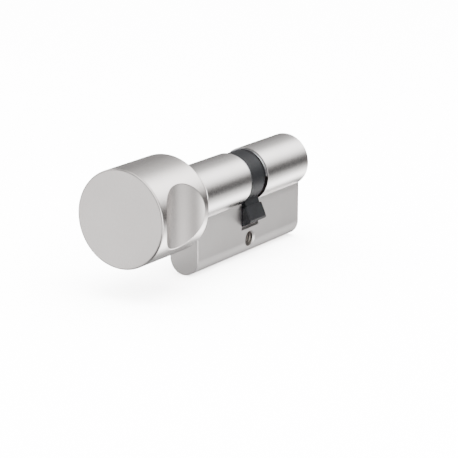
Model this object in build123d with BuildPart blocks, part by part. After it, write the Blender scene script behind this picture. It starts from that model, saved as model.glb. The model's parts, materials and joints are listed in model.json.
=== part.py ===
from build123d import *
import math
import os

os.makedirs("parts", exist_ok=True)

# A euro-profile door cylinder: key side at +X, thumbturn knob at -X, all sizes in mm.
# The origin is the centre of the fixing-screw hole, +Y runs along that hole,
# and +Z points up to the rotor axis, which is parallel to X.

# ---- body ----
AXIS_Z = 19.1
HALF_LENGTH = 30.0
BARREL_R = 8.5
WEB_HALF = 5.0
FOOT_Z = AXIS_Z - 24.5
SLOT_HALF = 5.0
SLOT_FLOOR_Z = AXIS_Z - 15.4
BODY_EDGE = 0.18
OVERRUN = 1.0
SCREW_R = 2.5
SCREW_CHAMFER = 0.3

# ---- rotors ----
BORE_R = 6.5
RUN_GAP = 0.05
ROTOR_R = BORE_R - RUN_GAP
RIM_R = 7.2
RIM_THICK = 1.5
TAIL_X = 3.5
GROOVE_R = 5.8
CLIP_NEAR_X = 4.15
CLIP_FAR_X = 4.75
CLIP_OUTER_R = 8.2
CLIP_MOUTH_START = 178
CLIP_MOUTH_END = 255
KEYWAY_TOP = 4.6
KEYWAY_FOOT = -4.2
KEYWAY_HALF = 1.3
WARD_STEP = 0.75
WARD_SLOPE = 0.6
UPPER_WARD_TOP = 2.2
UPPER_WARD_FOOT = -0.1
LOWER_WARD_TOP = 0.0
LOWER_WARD_FOOT = -2.0
PLUG_EDGE = 0.35

# ---- pin stacks, from the key face inwards ----
PIN_PITCH = 3.6
FIRST_PIN_X = 26.0
PIN_COUNT = 6
CHAMBER_R = 1.4
PIN_R = 1.34
PIN_CHAMFER = 0.18
KEY_PIN_TIP = 0.8
KEY_PIN_LENGTHS = [3.4, 4.5, 3.4, 5.0, 3.95, 2.85]
KEY_PIN_FOOT = -6.38
DRIVER_TOP = -6.62
DRIVER_LENGTH = 5.0
DRIVER_END_LENGTH = 1.2
DRIVER_WAIST_DEPTH = 0.35
CHAMBER_STOP = 0.9
CHAMBER_DISC_THICK = 1.65
CHAMBER_DISC_RECESS = 0.25
SPRING_WIRE_R = 0.17
SPRING_R = 1.05
SPRING_TURNS = 8
SPRING_END_GAP = 0.05

# ---- drill protection ----
HOUSING_GUARD_X = 27.6
HOUSING_GUARD_Y = 3.0
HOUSING_GUARD_R = 0.9
HOUSING_GUARD_TOP = AXIS_Z - 7.9
HOUSING_GUARD_FOOT = FOOT_Z + 2.1
PLUG_GUARD_X = 26.4
PLUG_GUARD_Y = 3.4
PLUG_GUARD_R = 0.75
PLUG_GUARD_TOP = 2.5
PLUG_GUARD_FOOT = -4.3
GUARD_GAP = 0.03

# ---- cam ----
CAM_HALF = 3.85
CAM_R = 7.95
CAM_RECESS_R = 6.8
CAM_RECESS_X = 3.2
LUG_TIP_R = 15.0
LUG_ANGLE = 21.0
LUG_START_R = 6.9
LUG_HALF = 4.7
LUG_ROOT_HALF = 2.8
LUG_SHOULDER_R = 9.6
LUG_SHOULDER_HALF = 3.05
LUG_TIP_HALF = 3.35
LUG_BEVEL = 0.6
LUG_EDGE = 0.22
EDGE_SEARCH_R = 14.4
DRIVE_HALF_WIDTH = 1.55
DRIVE_HALF_HEIGHT = 4.9

# ---- coupler ----
COUPLER_LENGTH = 2.9
COUPLER_REAR_X = 6.4
COUPLER_HALF_WIDTH = 1.48
COUPLER_HALF_HEIGHT = 4.75
COUPLER_EDGE = 0.25
COUPLER_SPRING_R = 0.95
COUPLER_SPRING_WIRE_R = 0.15
COUPLER_SPRING_TURNS = 5

# ---- spindle and knob ----
TONGUE_X = -1.0
COLLAR_R = 7.6
COLLAR_NEAR_X = -30.3
COLLAR_FAR_X = -31.8
NECK_R = 6.0
STUB_R = 4.0
STUB_END_X = -52.0
FLAT_DEPTH = 3.3
FLAT_LENGTH = 6.0
KNOB_R = 14.8
KNOB_REAR_X = -38.8
KNOB_FRONT_X = -63.5
KNOB_BORE_END_X = -52.5
KNOB_FRONT_EDGE = 0.5
KNOB_REAR_EDGE = 1.05
SCOOP_X = -51.4
SCOOP_R = 16.7
SCOOP_DEPTH = 3.4
SCOOP_EDGE = 0.3
GRUB_X = -44.0
GRUB_R = 2.0
GRUB_TIP = 3.4
GRUB_HEAD = 10.4
GRUB_HEX = 2.0
GRUB_HEX_DEPTH = 2.2
GRUB_EDGE = 0.3


def axial_plane(x):
    """A plane square to the rotor axis at x, with local x along +Y and local y along +Z."""
    return Plane(origin=(x, 0, AXIS_Z), x_dir=(0, 1, 0), z_dir=(1, 0, 0))


def cross_plane(x, z):
    """A plane square to Z at a point of the XZ plane, with local x along +X."""
    return Plane(origin=(x, 0, z), x_dir=(1, 0, 0), z_dir=(0, 0, 1))


def axial_disc(x_low, x_high, radius, mode=Mode.ADD):
    """A cylinder on the rotor axis between two x values, in the current part."""
    with BuildSketch(axial_plane(x_low)) as disc:
        Circle(radius)
    extrude(disc.sketch, amount=x_high - x_low, mode=mode)


def upright_pin(x, y, z_low, z_high, radius, mode=Mode.ADD):
    """A vertical cylinder in the current part."""
    with BuildSketch(cross_plane(x, z_low)) as disc:
        with Locations((0, y)):
            Circle(radius)
    extrude(disc.sketch, amount=z_high - z_low, mode=mode)


PIN_XS = [FIRST_PIN_X - PIN_PITCH * i for i in range(PIN_COUNT)]
RIM_SEAT_X = HALF_LENGTH - RIM_THICK
CHAMBER_ROOF_Z = AXIS_Z - BORE_R + OVERRUN
FOOT_CENTRE_Z = FOOT_Z + WEB_HALF


# ---- housing ----
with BuildPart() as housing:
    with BuildSketch(axial_plane(-HALF_LENGTH)):
        Circle(BARREL_R)
        with Locations((0, (FOOT_CENTRE_Z - AXIS_Z) / 2)):
            Rectangle(2 * WEB_HALF, AXIS_Z - FOOT_CENTRE_Z)
        with Locations((0, FOOT_CENTRE_Z - AXIS_Z)):
            Circle(WEB_HALF)
    extrude(amount=2 * HALF_LENGTH)
    chamfer(housing.faces().sort_by(Axis.X)[0].edges(), BODY_EDGE)
    chamfer(housing.faces().sort_by(Axis.X)[-1].edges(), BODY_EDGE)
    # the slot that the cam turns in
    with Locations((0, 0, SLOT_FLOOR_Z)):
        Box(2 * SLOT_HALF, 4 * BARREL_R, 2 * BARREL_R + AXIS_Z,
            align=(Align.CENTER, Align.CENTER, Align.MIN), mode=Mode.SUBTRACT)
    # rotor bores, with a seat for the plug's rim at the key face
    axial_disc(-HALF_LENGTH - OVERRUN, HALF_LENGTH + OVERRUN, BORE_R, mode=Mode.SUBTRACT)
    axial_disc(RIM_SEAT_X - RUN_GAP, HALF_LENGTH + OVERRUN, RIM_R + RUN_GAP, mode=Mode.SUBTRACT)
    # pin chambers, drilled from the foot into the plug bore
    for pin_x in PIN_XS:
        upright_pin(pin_x, 0, FOOT_Z - OVERRUN, CHAMBER_ROOF_Z, CHAMBER_R, mode=Mode.SUBTRACT)
    # holes for the hardened guard pins
    for side in (-1, 1):
        upright_pin(HOUSING_GUARD_X, side * HOUSING_GUARD_Y, FOOT_Z - OVERRUN,
                    HOUSING_GUARD_TOP + GUARD_GAP, HOUSING_GUARD_R + GUARD_GAP, mode=Mode.SUBTRACT)
    # fixing-screw hole through the web, chamfered at both mouths
    with BuildSketch(Plane.XZ.offset(-2 * WEB_HALF)):
        Circle(SCREW_R)
    extrude(amount=4 * WEB_HALF, mode=Mode.SUBTRACT)
    for side in (-1, 1):
        mouth = Plane(origin=(0, side * WEB_HALF, 0), x_dir=(1, 0, 0), z_dir=(0, -side, 0))
        with BuildSketch(mouth):
            Circle(SCREW_R + SCREW_CHAMFER)
        with BuildSketch(mouth.offset(SCREW_CHAMFER)):
            Circle(SCREW_R)
        loft(mode=Mode.SUBTRACT)
housing.part.label = "housing"
export_step(housing.part, "parts/housing.step")


# ---- plug ----
with BuildPart() as plug:
    axial_disc(TAIL_X, HALF_LENGTH, ROTOR_R)
    axial_disc(RIM_SEAT_X, HALF_LENGTH, RIM_R)
    chamfer(plug.faces().sort_by(Axis.X)[-1].edges(), PLUG_EDGE)
    with BuildSketch(axial_plane(CLIP_NEAR_X - RUN_GAP)):
        Circle(ROTOR_R + OVERRUN)
        Circle(GROOVE_R, mode=Mode.SUBTRACT)
    extrude(amount=CLIP_FAR_X - CLIP_NEAR_X + 2 * RUN_GAP, mode=Mode.SUBTRACT)
    # keyway: a tall slot whose two side wards make it zigzag
    with BuildSketch(axial_plane(TAIL_X - OVERRUN)):
        with BuildLine():
            Polyline(
                (-KEYWAY_HALF, KEYWAY_TOP),
                (KEYWAY_HALF, KEYWAY_TOP),
                (KEYWAY_HALF, UPPER_WARD_TOP),
                (KEYWAY_HALF - WARD_STEP, UPPER_WARD_TOP - WARD_SLOPE),
                (KEYWAY_HALF - WARD_STEP, UPPER_WARD_FOOT + WARD_SLOPE),
                (KEYWAY_HALF, UPPER_WARD_FOOT),
                (KEYWAY_HALF, KEYWAY_FOOT),
                (-KEYWAY_HALF, KEYWAY_FOOT),
                (-KEYWAY_HALF, LOWER_WARD_FOOT),
                (-KEYWAY_HALF + WARD_STEP, LOWER_WARD_FOOT + WARD_SLOPE),
                (-KEYWAY_HALF + WARD_STEP, LOWER_WARD_TOP - WARD_SLOPE),
                (-KEYWAY_HALF, LOWER_WARD_TOP),
                close=True,
            )
        make_face()
    extrude(amount=HALF_LENGTH, mode=Mode.SUBTRACT)
    # cross slot in the tail, which the coupler slides in
    with BuildSketch(axial_plane(TAIL_X - OVERRUN)):
        Rectangle(2 * DRIVE_HALF_WIDTH, 2 * DRIVE_HALF_HEIGHT)
    extrude(amount=COUPLER_REAR_X + RUN_GAP - TAIL_X + OVERRUN, mode=Mode.SUBTRACT)
    for pin_x in PIN_XS:
        upright_pin(pin_x, 0, AXIS_Z - BORE_R - OVERRUN, AXIS_Z + CHAMBER_STOP, CHAMBER_R, mode=Mode.SUBTRACT)
    for side in (-1, 1):
        upright_pin(PLUG_GUARD_X, side * PLUG_GUARD_Y, AXIS_Z - BORE_R - OVERRUN,
                    AXIS_Z + PLUG_GUARD_TOP + GUARD_GAP, PLUG_GUARD_R + GUARD_GAP, mode=Mode.SUBTRACT)
plug.part.label = "plug"
export_step(plug.part, "parts/plug.step")


# ---- spindle ----
with BuildPart() as spindle:
    axial_disc(-HALF_LENGTH, -TAIL_X, ROTOR_R)
    axial_disc(COLLAR_FAR_X, COLLAR_NEAR_X, COLLAR_R)
    axial_disc(KNOB_REAR_X, -HALF_LENGTH, NECK_R)
    axial_disc(STUB_END_X, KNOB_REAR_X, STUB_R)
    with BuildSketch(axial_plane(-CLIP_FAR_X - RUN_GAP)):
        Circle(ROTOR_R + OVERRUN)
        Circle(GROOVE_R, mode=Mode.SUBTRACT)
    extrude(amount=CLIP_FAR_X - CLIP_NEAR_X + 2 * RUN_GAP, mode=Mode.SUBTRACT)
    # tongue that drives the cam
    with BuildSketch(axial_plane(-TAIL_X)):
        Rectangle(2 * COUPLER_HALF_WIDTH, 2 * COUPLER_HALF_HEIGHT)
    extrude(amount=TONGUE_X + TAIL_X)
    # flat on the stub for the grub screw
    with Locations((GRUB_X, 0, AXIS_Z - FLAT_DEPTH)):
        Box(FLAT_LENGTH, 3 * STUB_R, STUB_R,
            align=(Align.CENTER, Align.CENTER, Align.MAX), mode=Mode.SUBTRACT)
spindle.part.label = "spindle"
export_step(spindle.part, "parts/spindle.step")


# ---- knob ----
with BuildPart() as knob:
    axial_disc(KNOB_FRONT_X, KNOB_REAR_X, KNOB_R)
    fillet(knob.faces().sort_by(Axis.X)[0].edges(), KNOB_FRONT_EDGE)
    fillet(knob.faces().sort_by(Axis.X)[-1].edges(), KNOB_REAR_EDGE)
    # finger scoops on both sides
    scoop_edges = []
    for side in (-1, 1):
        before = knob.edges()
        with Locations((SCOOP_X, side * (KNOB_R - SCOOP_DEPTH + SCOOP_R), AXIS_Z)):
            Cylinder(SCOOP_R, 4 * KNOB_R, mode=Mode.SUBTRACT)
        scoop_edges += list(knob.edges() - before)
    fillet(scoop_edges, SCOOP_EDGE)
    axial_disc(KNOB_BORE_END_X, KNOB_REAR_X + OVERRUN, STUB_R + RUN_GAP, mode=Mode.SUBTRACT)
    upright_pin(GRUB_X, 0, AXIS_Z - KNOB_R - OVERRUN, AXIS_Z, GRUB_R + RUN_GAP, mode=Mode.SUBTRACT)
knob.part.label = "knob"
export_step(knob.part, "parts/knob.step")


# ---- grub screw that holds the knob on the spindle ----
with BuildPart() as grub_screw:
    upright_pin(GRUB_X, 0, AXIS_Z - GRUB_HEAD, AXIS_Z - GRUB_TIP, GRUB_R)
    chamfer(grub_screw.edges().filter_by(GeomType.CIRCLE), GRUB_EDGE)
    with BuildSketch(cross_plane(GRUB_X, AXIS_Z - GRUB_HEAD)):
        RegularPolygon(GRUB_HEX / math.sqrt(3), 6)
    extrude(amount=GRUB_HEX_DEPTH, mode=Mode.SUBTRACT)
grub_screw.part.label = "grub_screw"
export_step(grub_screw.part, "parts/grub_screw.step")


# ---- cam ----
with BuildPart() as cam:
    axial_disc(-CAM_HALF, CAM_HALF, CAM_R)
    # neck and lug are drawn pointing down their own planes, which are turned towards -Y;
    # the lug is wider along X than the ring and its neck
    lug_x_dir = (0, math.cos(math.radians(LUG_ANGLE)), -math.sin(math.radians(LUG_ANGLE)))
    with BuildSketch(Plane(origin=(-CAM_HALF, 0, AXIS_Z), x_dir=lug_x_dir, z_dir=(1, 0, 0))):
        with Locations((0, -LUG_START_R)):
            Rectangle(2 * LUG_ROOT_HALF, LUG_SHOULDER_R - LUG_START_R + LUG_EDGE,
                      align=(Align.CENTER, Align.MAX))
    extrude(amount=2 * CAM_HALF)
    with BuildSketch(Plane(origin=(-LUG_HALF, 0, AXIS_Z), x_dir=lug_x_dir, z_dir=(1, 0, 0))):
        with BuildLine():
            Polyline(
                (-LUG_SHOULDER_HALF, -LUG_SHOULDER_R),
                (-LUG_TIP_HALF, -LUG_TIP_R - OVERRUN),
                (LUG_TIP_HALF, -LUG_TIP_R - OVERRUN),
                (LUG_SHOULDER_HALF, -LUG_SHOULDER_R),
                close=True,
            )
        make_face()
        Circle(LUG_TIP_R, mode=Mode.INTERSECT)
    extrude(amount=2 * LUG_HALF)
    tip_edges = cam.edges().filter_by(Axis.X).filter_by(
        lambda e: math.hypot(e.center().Y, e.center().Z - AXIS_Z) > EDGE_SEARCH_R
    )
    chamfer(tip_edges, LUG_BEVEL)
    flank_edges = cam.edges().filter_by(GeomType.LINE).filter_by(
        lambda e: e.length > LUG_ROOT_HALF and abs(abs(e.center().X) - LUG_HALF) < RUN_GAP
    )
    chamfer(flank_edges, LUG_EDGE)
    for side in (-1, 1):
        low = min(side * CAM_RECESS_X, side * (CAM_HALF + OVERRUN))
        axial_disc(low, low + CAM_HALF + OVERRUN - CAM_RECESS_X, CAM_RECESS_R, mode=Mode.SUBTRACT)
    with BuildSketch(axial_plane(-CAM_HALF)):
        Rectangle(2 * DRIVE_HALF_WIDTH, 2 * DRIVE_HALF_HEIGHT)
    extrude(amount=2 * CAM_HALF, mode=Mode.SUBTRACT)
cam.part.label = "cam"
export_step(cam.part, "parts/cam.step")


# ---- circlips ----
def ring_point(radius, degrees):
    """A point in a plane square to the rotor axis, counted from +Y towards +Z."""
    return (radius * math.cos(math.radians(degrees)), radius * math.sin(math.radians(degrees)))


def make_circlip(x_low, name):
    """An open ring in a rotor's groove, with its mouth low on the -Y side."""
    with BuildPart() as clip:
        with BuildSketch(axial_plane(x_low)):
            Circle(CLIP_OUTER_R)
            Circle(GROOVE_R + RUN_GAP, mode=Mode.SUBTRACT)
            with BuildLine():
                Polyline(
                    (0, 0),
                    ring_point(2 * CLIP_OUTER_R, CLIP_MOUTH_START),
                    ring_point(2 * CLIP_OUTER_R, (CLIP_MOUTH_START + CLIP_MOUTH_END) / 2),
                    ring_point(2 * CLIP_OUTER_R, CLIP_MOUTH_END),
                    close=True,
                )
            make_face(mode=Mode.SUBTRACT)
        extrude(amount=CLIP_FAR_X - CLIP_NEAR_X)
    clip.part.label = name
    export_step(clip.part, f"parts/{name}.step")


make_circlip(CLIP_NEAR_X, "circlip_key_side")
make_circlip(-CLIP_FAR_X, "circlip_knob_side")


# ---- coupler ----
with BuildPart() as coupler:
    with BuildSketch(axial_plane(TAIL_X)):
        Rectangle(2 * COUPLER_HALF_WIDTH, 2 * COUPLER_HALF_HEIGHT)
    extrude(amount=COUPLER_LENGTH)
    chamfer(coupler.faces().sort_by(Axis.X)[0].edges().filter_by(Axis.Z), COUPLER_EDGE)
coupler.part.label = "coupler"
export_step(coupler.part, "parts/coupler.step")


def make_spring(path_start, direction, height, coil_r, wire_r, turns, name):
    """A round-wire coil with its centre line from path_start along direction."""
    with BuildPart() as spring:
        with BuildLine() as wire:
            Helix(pitch=height / turns, height=height, radius=coil_r, center=path_start, direction=direction)
        with BuildSketch(Plane(origin=wire.line @ 0, z_dir=wire.line % 0)):
            Circle(wire_r)
        sweep(path=wire.line, is_frenet=True)
    spring.part.label = name
    export_step(spring.part, f"parts/{name}.step")


COUPLER_SPRING_START = TONGUE_X + COUPLER_SPRING_WIRE_R + SPRING_END_GAP
COUPLER_SPRING_LENGTH = TAIL_X - COUPLER_SPRING_WIRE_R - SPRING_END_GAP - COUPLER_SPRING_START
make_spring((COUPLER_SPRING_START, 0, AXIS_Z), (1, 0, 0), COUPLER_SPRING_LENGTH,
            COUPLER_SPRING_R, COUPLER_SPRING_WIRE_R, COUPLER_SPRING_TURNS, "coupler_spring")


# ---- pin stacks ----
CHAMBER_DISC_FOOT = FOOT_Z + CHAMBER_DISC_RECESS
CHAMBER_DISC_TOP = CHAMBER_DISC_FOOT + CHAMBER_DISC_THICK
SPRING_FOOT = CHAMBER_DISC_TOP + SPRING_WIRE_R + SPRING_END_GAP
SPRING_TOP = AXIS_Z + DRIVER_TOP - DRIVER_LENGTH - SPRING_WIRE_R - SPRING_END_GAP

for number, (pin_x, pin_length) in enumerate(zip(PIN_XS, KEY_PIN_LENGTHS), start=1):
    # key pin: flat foot at the shear line, tapered tip in the keyway
    with BuildPart() as key_pin:
        foot_z = AXIS_Z + KEY_PIN_FOOT
        upright_pin(pin_x, 0, foot_z, foot_z + pin_length, PIN_R)
        chamfer(key_pin.faces().sort_by(Axis.Z)[-1].edges(), KEY_PIN_TIP)
        chamfer(key_pin.faces().sort_by(Axis.Z)[0].edges(), PIN_CHAMFER)
    key_pin.part.label = f"key_pin_{number}"
    export_step(key_pin.part, f"parts/key_pin_{number}.step")

    # driver pin: plain for the odd stacks, with a spool waist for the even ones
    with BuildPart() as driver_pin:
        driver_foot = AXIS_Z + DRIVER_TOP - DRIVER_LENGTH
        upright_pin(pin_x, 0, driver_foot, driver_foot + DRIVER_LENGTH, PIN_R)
        chamfer(driver_pin.edges().filter_by(GeomType.CIRCLE), PIN_CHAMFER)
        if number % 2 == 0:
            with BuildSketch(cross_plane(pin_x, driver_foot + DRIVER_END_LENGTH)):
                Circle(PIN_R + OVERRUN)
                Circle(PIN_R - DRIVER_WAIST_DEPTH, mode=Mode.SUBTRACT)
            extrude(amount=DRIVER_LENGTH - 2 * DRIVER_END_LENGTH, mode=Mode.SUBTRACT)
    driver_pin.part.label = f"driver_pin_{number}"
    export_step(driver_pin.part, f"parts/driver_pin_{number}.step")

    make_spring((pin_x, 0, SPRING_FOOT), (0, 0, 1), SPRING_TOP - SPRING_FOOT,
                SPRING_R, SPRING_WIRE_R, SPRING_TURNS, f"pin_spring_{number}")


# ---- discs that close the chambers, one below each spring ----
with BuildPart() as chamber_plugs:
    for pin_x in PIN_XS:
        upright_pin(pin_x, 0, CHAMBER_DISC_FOOT, CHAMBER_DISC_TOP, CHAMBER_R)
chamber_plugs.part.label = "chamber_plugs"
export_step(chamber_plugs.part, "parts/chamber_plugs.step")


# ---- hardened guard pins ----
with BuildPart() as housing_guard_pins:
    for side in (-1, 1):
        upright_pin(HOUSING_GUARD_X, side * HOUSING_GUARD_Y, HOUSING_GUARD_FOOT,
                    HOUSING_GUARD_TOP, HOUSING_GUARD_R)
housing_guard_pins.part.label = "housing_guard_pins"
export_step(housing_guard_pins.part, "parts/housing_guard_pins.step")

with BuildPart() as plug_guard_pins:
    for side in (-1, 1):
        upright_pin(PLUG_GUARD_X, side * PLUG_GUARD_Y, AXIS_Z + PLUG_GUARD_FOOT,
                    AXIS_Z + PLUG_GUARD_TOP, PLUG_GUARD_R)
plug_guard_pins.part.label = "plug_guard_pins"
export_step(plug_guard_pins.part, "parts/plug_guard_pins.step")
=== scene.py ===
import json
import math

import bpy
from mathutils import Matrix, Vector


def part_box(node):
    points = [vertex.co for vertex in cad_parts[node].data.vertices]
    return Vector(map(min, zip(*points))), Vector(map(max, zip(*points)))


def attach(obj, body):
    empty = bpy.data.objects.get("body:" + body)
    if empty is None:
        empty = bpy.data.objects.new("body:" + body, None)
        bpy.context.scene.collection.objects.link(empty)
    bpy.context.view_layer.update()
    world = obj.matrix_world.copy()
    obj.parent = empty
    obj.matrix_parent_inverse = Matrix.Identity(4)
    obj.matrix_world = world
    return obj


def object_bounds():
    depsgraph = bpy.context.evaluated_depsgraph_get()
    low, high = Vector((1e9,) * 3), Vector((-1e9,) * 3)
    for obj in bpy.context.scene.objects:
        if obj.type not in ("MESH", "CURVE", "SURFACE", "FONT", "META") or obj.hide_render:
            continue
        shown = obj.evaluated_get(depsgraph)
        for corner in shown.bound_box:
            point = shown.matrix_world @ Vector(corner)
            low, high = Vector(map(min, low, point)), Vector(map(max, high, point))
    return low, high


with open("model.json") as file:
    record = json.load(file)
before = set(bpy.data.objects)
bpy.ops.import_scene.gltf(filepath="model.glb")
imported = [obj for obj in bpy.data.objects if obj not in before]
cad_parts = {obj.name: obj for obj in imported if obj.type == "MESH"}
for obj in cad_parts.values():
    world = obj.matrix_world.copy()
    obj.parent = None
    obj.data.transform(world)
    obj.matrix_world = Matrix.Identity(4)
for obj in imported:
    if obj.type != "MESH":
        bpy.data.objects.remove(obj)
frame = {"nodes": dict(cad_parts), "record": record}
nodes = frame["nodes"]
bounds_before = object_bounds()

MM = 0.001
low, high = (Vector(corner) for corner in bounds_before)
centre = (low + high) / 2

# the body's web, and the height below which its finish turns more matte
WEB_HALF = 5.0 * MM
WEB_TOP = 11.5 * MM
WEB_FADE = 2 * MM

# the fixing-screw hole: wall, thread crest and pitch, and the countersink at each mouth
SCREW_HOLE_R = 2.5 * MM
SCREW_CREST_R = 2.12 * MM
SCREW_PITCH = 0.8 * MM
SCREW_THREAD_INSET = 0.75 * MM
SCREW_MOUTH_R = 2.28 * MM
SCREW_MOUTH_DEPTH = 0.3 * MM

# the grub-screw hole in the knob
GRUB_HOLE_R = 2.05 * MM
GRUB_CREST_R = 1.75 * MM
GRUB_PITCH = 0.7 * MM
GRUB_THREAD_START = 1.1 * MM
GRUB_THREAD_GAP = 0.6 * MM

# the part of a noise texture's range that carries nearly all of its values
NOISE_LOW = 0.3
NOISE_HIGH = 0.7


# ---- node trees ----
class Shading:
    """A node tree, with the few building steps that the finishes, the floor and the sky share."""

    def __init__(self, owner):
        owner.use_nodes = True
        self.tree = owner.node_tree

    def link(self, source, target):
        self.tree.links.new(source, target)

    def node(self, kind, **values):
        """A new node; each value sets the socket of that name, with _ for a space."""
        made = self.tree.nodes.new(kind)
        for socket, value in values.items():
            made.inputs[socket.replace("_", " ")].default_value = value
        return made

    def math(self, operation, first, second=None):
        made = self.tree.nodes.new("ShaderNodeMath")
        made.operation = operation
        self.link(first, made.inputs[0])
        if second is not None:
            self.link(second, made.inputs[1])
        return made.outputs["Value"]

    def coordinate(self, vector, axis):
        made = self.tree.nodes.new("ShaderNodeSeparateXYZ")
        self.link(vector, made.inputs["Vector"])
        return made.outputs[axis]

    def fade(self, value, start, end, first, last, curve="SMOOTHSTEP"):
        """A value that runs from first to last while the input runs from start to end."""
        made = self.tree.nodes.new("ShaderNodeMapRange")
        made.interpolation_type = curve
        made.inputs["From Min"].default_value = start
        made.inputs["From Max"].default_value = end
        made.inputs["To Min"].default_value = first
        made.inputs["To Max"].default_value = last
        self.link(value, made.inputs["Value"])
        return made.outputs["Result"]

    def mix(self, factor, first, second):
        made = self.tree.nodes.new("ShaderNodeMixShader")
        self.link(factor, made.inputs["Fac"])
        self.link(first, made.inputs[1])
        self.link(second, made.inputs[2])
        return made.outputs["Shader"]


class Finish(Shading):
    """A new material round a Principled shader, with the textures that the finishes use."""

    def __init__(self, name):
        self.material = bpy.data.materials.new(name)
        super().__init__(self.material)
        self.shader = self.tree.nodes["Principled BSDF"]
        self.coords = self.node("ShaderNodeTexCoord").outputs["Object"]

    def stretched(self, scale):
        mapping = self.node("ShaderNodeMapping", Scale=scale)
        self.link(self.coords, mapping.inputs["Vector"])
        return mapping.outputs["Vector"]

    def noise(self, scale, detail, roughness=0.6, coords=None):
        made = self.node("ShaderNodeTexNoise", Scale=scale, Detail=detail, Roughness=roughness)
        self.link(coords or self.coords, made.inputs["Vector"])
        return made.outputs["Fac"]

    def spread(self, noise, first, last):
        """A value that runs from first to last over a noise texture's range."""
        return self.fade(noise, NOISE_LOW, NOISE_HIGH, first, last, "LINEAR")

    def blend(self, value, first, second):
        made = self.tree.nodes.new("ShaderNodeMix")
        made.data_type = "RGBA"
        made.inputs[6].default_value = (*first, 1)
        made.inputs[7].default_value = (*second, 1)
        self.link(value, made.inputs[0])
        return made.outputs[2]

    def soft_edges(self, radius):
        made = self.node("ShaderNodeBevel", Radius=radius)
        made.samples = 6
        return made.outputs["Normal"]

    def bump(self, height, distance, under):
        made = self.node("ShaderNodeBump", Strength=1.0, Distance=distance)
        self.link(height, made.inputs["Height"])
        self.link(under, made.inputs["Normal"])
        return made.outputs["Normal"]

    def use(self, value, socket):
        self.link(value, self.shader.inputs[socket])


# ---- materials ----
def metal(name, light, dark, rough_low, rough_high, grain=7000.0, depth=0.004 * MM, cloud=90.0, stretch=None,
          edge=0.06 * MM, matte_web=0.0):
    """A metal with clouded colour and roughness over a fine grain; stretch makes the grain run one way.

    matte_web is the roughness added on the body's flat web, below the barrel.
    """
    made = Finish(name)
    made.shader.inputs["Metallic"].default_value = 1.0
    cloud_value = made.spread(made.noise(cloud, 4.0), 0.0, 1.0)
    made.use(made.blend(cloud_value, dark, light), "Base Color")
    grain_coords = made.stretched(stretch) if stretch else None
    grain_value = made.noise(grain, 2.0, 0.55, grain_coords)
    rough = made.spread(grain_value, rough_low, rough_high)
    if matte_web:
        height = made.coordinate(made.coords, "Z")
        added = made.fade(height, WEB_TOP, WEB_TOP - WEB_FADE, 0.0, matte_web, "LINEAR")
        rough = made.math("ADD", rough, added)
    made.use(rough, "Roughness")
    made.use(made.bump(grain_value, depth, made.soft_edges(edge)), "Normal")
    return made.material


def sintered(name, light, dark):
    """Matte charcoal sintered steel with fine pores."""
    made = Finish(name)
    made.shader.inputs["Specular IOR Level"].default_value = 0.13
    cloud_value = made.spread(made.noise(260.0, 4.0), 0.0, 1.0)
    made.use(made.blend(cloud_value, dark, light), "Base Color")
    pores = made.noise(5200.0, 3.0, 0.65)
    made.use(made.spread(pores, 0.54, 0.42), "Roughness")
    made.use(made.bump(pores, 0.012 * MM, made.soft_edges(0.14 * MM)), "Normal")
    return made.material


SATIN_LIGHT = (0.675, 0.652, 0.643)
SATIN_DARK = (0.635, 0.612, 0.603)
KNOB_LIGHT = (0.705, 0.672, 0.658)
KNOB_DARK = (0.665, 0.632, 0.618)
SATIN_EDGE = 0.16 * MM
finishes = {
    "nickel_body": metal("satin_nickel_body", SATIN_LIGHT, SATIN_DARK, 0.24, 0.31,
                         edge=SATIN_EDGE, matte_web=0.14),
    "nickel_knob": metal("satin_nickel_knob", KNOB_LIGHT, KNOB_DARK, 0.24, 0.31, cloud=60.0, edge=SATIN_EDGE),
    "nickel_spindle": metal("turned_nickel", (0.62, 0.6, 0.57), (0.55, 0.53, 0.5), 0.22, 0.36,
                            grain=900.0, stretch=(9.0, 0.6, 0.6)),
    "brass_plug": metal("turned_brass", (0.74, 0.61, 0.37), (0.66, 0.53, 0.31), 0.24, 0.4,
                        grain=900.0, stretch=(8.0, 0.6, 0.6)),
    "cam_sintered": sintered("sintered_steel", (0.022, 0.023, 0.026), (0.016, 0.017, 0.019)),
    "spring_steel": metal("spring_steel", (0.5, 0.51, 0.53), (0.4, 0.41, 0.43), 0.2, 0.34),
    "steel_screw": metal("black_oxide", (0.09, 0.09, 0.095), (0.05, 0.05, 0.055), 0.35, 0.5),
    "steel_coupler": metal("ground_steel", (0.56, 0.56, 0.56), (0.45, 0.45, 0.45), 0.2, 0.38,
                           grain=1500.0, stretch=(0.4, 1.0, 6.0)),
    "spring_wire": metal("drawn_wire", (0.62, 0.61, 0.6), (0.5, 0.49, 0.48), 0.18, 0.32),
    "brass_pins": metal("pin_brass", (0.8, 0.63, 0.33), (0.7, 0.53, 0.25), 0.2, 0.34,
                        grain=1500.0, stretch=(0.6, 0.6, 7.0)),
    "driver_pins": metal("pin_nickel_silver", (0.74, 0.68, 0.52), (0.64, 0.58, 0.43), 0.2, 0.34,
                         grain=1500.0, stretch=(0.6, 0.6, 7.0)),
    "brass_discs": metal("pressed_brass", (0.76, 0.61, 0.35), (0.66, 0.51, 0.27), 0.3, 0.44),
    "guard_steel": metal("hardened_steel", (0.42, 0.42, 0.43), (0.33, 0.33, 0.34), 0.22, 0.36),
}

tapped = metal("tapped_nickel", (0.2, 0.185, 0.17), (0.12, 0.11, 0.1), 0.35, 0.5, grain=3000.0)

slot_of = {entry["node"]: entry["material_slot"] for entry in frame["record"]["subparts"]}
for name, obj in nodes.items():
    obj.data.materials.clear()
    obj.data.materials.append(finishes[slot_of[name]])


# ---- threads ----
ROOT_OVERLAP = 0.03 * MM
MOUTH_LIP = 0.02 * MM


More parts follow.
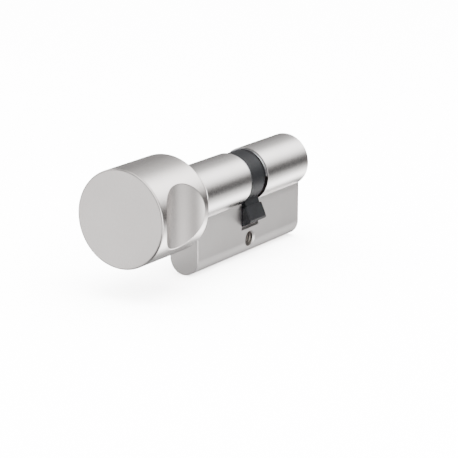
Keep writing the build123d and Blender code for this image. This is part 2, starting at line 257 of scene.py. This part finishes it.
def add_piece(name, verts, faces, material, body):
    """A mesh piece that rides on a body, with the material given."""
    mesh = bpy.data.meshes.new(name)
    mesh.from_pydata(verts, [], faces)
    mesh.validate()
    mesh.update()
    obj = bpy.data.objects.new(name, mesh)
    bpy.context.scene.collection.objects.link(obj)
    obj.data.materials.append(material)
    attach(obj, body)
    return obj


def hole_axes(direction):
    """Unit vectors across a hole and along it."""
    z_axis = Vector(direction).normalized()
    x_axis = z_axis.orthogonal().normalized()
    return x_axis, z_axis.cross(x_axis), z_axis


def thread(name, start, direction, length, wall_r, crest_r, pitch, body):
    """A helical ridge standing inwards from a hole's wall, running out at both ends."""
    x_axis, y_axis, z_axis = hole_axes(direction)
    steps_per_turn = 56
    run_out_steps = 24
    steps = int(length / pitch * steps_per_turn)
    root_r = wall_r + ROOT_OVERLAP
    half_root = 0.44 * pitch
    half_crest = 0.07 * pitch
    verts = []
    for i in range(steps + 1):
        angle = 2 * math.pi * i / steps_per_turn
        along = length * i / steps
        run_out = min(1.0, i / run_out_steps, (steps - i) / run_out_steps)
        crest = root_r + (crest_r - root_r) * run_out
        radial = math.cos(angle) * x_axis + math.sin(angle) * y_axis
        section = ((root_r, -half_root), (crest, -half_crest), (crest, half_crest), (root_r, half_root))
        for radius, shift in section:
            verts.append(Vector(start) + radial * radius + z_axis * (along + shift))
    corners = len(section)
    faces = []
    for i in range(steps):
        a = corners * i
        b = a + corners
        for k in range(corners):
            n = (k + 1) % corners
            faces.append((a + k, a + n, b + n, b + k))
    faces.append((3, 2, 1, 0))
    faces.append(tuple(corners * steps + k for k in range(corners)))
    return add_piece(name, verts, faces, tapped, body)


def thread_mouth(name, face_centre, inward, wall_r, crest_r, depth, body, slot):
    """The bright cone where a countersink cuts the first turns of a thread."""
    x_axis, y_axis, z_axis = hole_axes(inward)
    rise = wall_r - crest_r
    section = (
        (wall_r + ROOT_OVERLAP, depth - MOUTH_LIP),
        (wall_r, depth),
        (crest_r, depth + rise),
        (crest_r + 2 * MOUTH_LIP, depth + rise + 0.05 * MM),
        (wall_r + ROOT_OVERLAP, depth + 2 * rise),
    )
    sides = 72
    verts = []
    for i in range(sides):
        angle = 2 * math.pi * i / sides
        radial = math.cos(angle) * x_axis + math.sin(angle) * y_axis
        for radius, along in section:
            verts.append(Vector(face_centre) + radial * radius + z_axis * along)
    corners = len(section)
    faces = []
    for i in range(sides):
        a = corners * i
        b = corners * ((i + 1) % sides)
        for k in range(corners):
            n = (k + 1) % corners
            faces.append((a + k, b + k, b + n, a + n))
    return add_piece(name, verts, faces, finishes[slot], body)


for end, side in (("front", -1), ("back", 1)):
    thread_mouth(f"fixing_screw_mouth_{end}", (0, side * WEB_HALF, 0), (0, -side, 0),
                 SCREW_HOLE_R, SCREW_MOUTH_R, SCREW_MOUTH_DEPTH, "housing", "nickel_body")
thread("fixing_screw_thread", (0, -WEB_HALF + SCREW_THREAD_INSET, 0), (0, 1, 0),
       2 * (WEB_HALF - SCREW_THREAD_INSET),
       SCREW_HOLE_R, SCREW_CREST_R, SCREW_PITCH, "housing")

grub_low, grub_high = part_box("grub_screw")
knob_low, knob_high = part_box("knob")
grub_x = (grub_low.x + grub_high.x) / 2
thread("grub_hole_thread", (grub_x, 0, knob_low.z + GRUB_THREAD_START), (0, 0, 1),
       grub_low.z - knob_low.z - GRUB_THREAD_START - GRUB_THREAD_GAP,
       GRUB_HOLE_R, GRUB_CREST_R, GRUB_PITCH, "knob_and_cam")


# ---- floor ----
FLOOR_REACH = 4.0
FLOOR_DROP = 0.02 * MM

# the floor's brightness to the camera, to diffuse light, and in the grey band of painted shadow that
# reflections see beside the object
PAPER_WHITE = (8.0, 8.0, 8.0, 1)
PAPER_DIM = (0.8, 0.8, 0.8, 1)
# painted contact shadow: a grey glowing band, seen only in reflections, that darkens the object's lower edges
# in place of the floor's real shade
PAINTED_SHADOW_LEVEL = 0.6
PAINTED_SHADOW_COVER = 0.8
PAINTED_SHADOW_NEAR = 6 * MM
PAINTED_SHADOW_FAR = 16 * MM

floor_mesh = bpy.data.meshes.new("floor")
floor_corners = [(x * FLOOR_REACH, y * FLOOR_REACH, 0) for x, y in ((-1, -1), (1, -1), (1, 1), (-1, 1))]
floor_mesh.from_pydata(floor_corners, [], [(0, 1, 2, 3)])
floor = bpy.data.objects.new("floor", floor_mesh)
floor.location = (0, 0, low.z - FLOOR_DROP)
bpy.context.scene.collection.objects.link(floor)


def white_sweep():
    """White paper that lights the object softly; reflections see only a grey band of painted shadow along the
    line where the object meets it.
    """
    material = bpy.data.materials.new("white_sweep")
    shading = Shading(material)
    shading.tree.nodes.clear()
    paper = shading.node("ShaderNodeBsdfDiffuse", Color=PAPER_WHITE)
    dim_paper = shading.node("ShaderNodeBsdfDiffuse", Color=PAPER_DIM)
    clear = shading.node("ShaderNodeBsdfTransparent")
    # painted shadow: a grey glow that reflections see near the object, fading out with distance from it
    painted_shadow = shading.node("ShaderNodeEmission", Strength=PAINTED_SHADOW_LEVEL)
    path = shading.node("ShaderNodeLightPath")
    place = shading.node("ShaderNodeTexCoord").outputs["Object"]
    aside = shading.math("ABSOLUTE", shading.coordinate(place, "Y"))
    shadow_cover = shading.fade(aside, PAINTED_SHADOW_NEAR, PAINTED_SHADOW_FAR, PAINTED_SHADOW_COVER, 0)
    reflected = shading.mix(shadow_cover, clear.outputs["BSDF"], painted_shadow.outputs["Emission"])
    seen = shading.mix(path.outputs["Is Camera Ray"], dim_paper.outputs["BSDF"], paper.outputs["BSDF"])
    shader = shading.mix(path.outputs["Is Glossy Ray"], seen, reflected)
    shading.link(shader, shading.node("ShaderNodeOutputMaterial").inputs["Surface"])
    return material


floor.data.materials.append(white_sweep())


# ---- light ----
# soft round panels: direction, reach in degrees and brightness
UPPER_PANELS = [
    ((0.82, -0.29, 0.49), 32, 5.4),
    ((0.82, 0.08, 0.57), 40, 0.9),
    ((0.82, 0.55, 0.1), 30, 0.22),
    ((-0.82, 0.51, -0.25), 40, 1.9),
    ((0, 0, 1), 45, 2.5),
    ((0.35, 0.82, 0.44), 32, 3.6),
    ((-0.45, 0.78, 0.44), 30, 2.0),
    ((0.45, 0.8, -0.4), 34, 2.4),
    ((-0.52, -0.5, 0.69), 50, 5.0),
    ((-0.52, -0.8, -0.1), 42, 5.5),
]
LOWER_PANELS = [
    ((0.83, -0.2, -0.54), 22.5, 8.0),
    ((0.8, 0.3, -0.55), 24, 0.4),
    ((0.56, -0.7, -0.4), 38, 2.8),
    ((0.08, -0.93, -0.34), 42, 0.85),
]
SKY_BASE = 0.13
DOME_STRENGTH = 1.6
HORIZON_START = -0.13
HORIZON_END = -0.33


def sum_of(shading, panels, sky):
    """The summed brightness of soft round panels, as seen along the sky direction."""
    total = None
    for direction, reach_degrees, level in panels:
        dot = shading.tree.nodes.new("ShaderNodeVectorMath")
        dot.operation = "DOT_PRODUCT"
        dot.inputs[1].default_value = Vector(direction).normalized()
        shading.link(sky, dot.inputs[0])
        angle = shading.math("ARCCOSINE", dot.outputs["Value"])
        panel = shading.fade(angle, 0, math.radians(reach_degrees), level, 0, "SMOOTHERSTEP")
        total = panel if total is None else shading.math("ADD", total, panel)
    return total


def studio_world():
    """An even white dome for diffuse light, and soft panels that only reflections see."""
    world = bpy.data.worlds.new("studio")
    shading = Shading(world)
    shading.tree.nodes.clear()
    sky = shading.node("ShaderNodeTexCoord").outputs["Generated"]
    below_horizon = shading.fade(shading.coordinate(sky, "Z"), HORIZON_START, HORIZON_END, 0, 1)
    lower = shading.math("MULTIPLY", sum_of(shading, LOWER_PANELS, sky), below_horizon)
    panels = shading.math("ADD", sum_of(shading, UPPER_PANELS, sky), lower)
    base = shading.node("ShaderNodeValue")
    base.outputs[0].default_value = SKY_BASE
    lifted = shading.math("ADD", panels, base.outputs[0])
    dome = shading.node("ShaderNodeBackground", Color=(1, 1, 1, 1), Strength=DOME_STRENGTH)
    seen = shading.node("ShaderNodeBackground", Color=(1, 0.995, 0.985, 1))
    shading.link(lifted, seen.inputs["Strength"])
    glossy = shading.node("ShaderNodeLightPath").outputs["Is Glossy Ray"]
    shader = shading.mix(glossy, dome.outputs["Background"], seen.outputs["Background"])
    shading.link(shader, shading.node("ShaderNodeOutputWorld").inputs["Surface"])
    return world


bpy.context.scene.world = studio_world()

SOFTBOX_SIZE = 0.8
SOFTBOX_ENERGY = 4.0
SOFTBOX_OFFSET = Vector((-0.1, -0.2, 0.9))
softbox = bpy.data.lights.new("overhead_softbox", "AREA")
softbox.size = SOFTBOX_SIZE
softbox.energy = SOFTBOX_ENERGY
softbox_holder = bpy.data.objects.new("overhead_softbox", softbox)
softbox_holder.location = centre + SOFTBOX_OFFSET
softbox_holder.visible_glossy = False
bpy.context.scene.collection.objects.link(softbox_holder)


# ---- camera ----
AZIMUTH = math.radians(-58.24)
ELEVATION = math.radians(14.62)
ROLL = math.radians(0.2)
LENS = 168.8
DISTANCE = 0.665
AIM_OFFSET = Vector((12.1, -0.2, -10.75)) * MM
level_back = Vector((math.sin(AZIMUTH), -math.cos(AZIMUTH), 0))
back = math.cos(ELEVATION) * level_back + Vector((0, 0, math.sin(ELEVATION)))
right = Vector((math.cos(AZIMUTH), math.sin(AZIMUTH), 0))
up = back.cross(right)
rolled_right = math.cos(ROLL) * right + math.sin(ROLL) * up
rolled_up = math.cos(ROLL) * up - math.sin(ROLL) * right
camera_data = bpy.data.cameras.new("camera")
camera_data.lens = LENS
camera_data.clip_start = 0.01
camera = bpy.data.objects.new("camera", camera_data)
turn = Matrix((rolled_right, rolled_up, back)).transposed().to_4x4()
camera.matrix_world = Matrix.Translation(centre + AIM_OFFSET + back * DISTANCE) @ turn
bpy.context.scene.collection.objects.link(camera)
bpy.context.scene.camera = camera
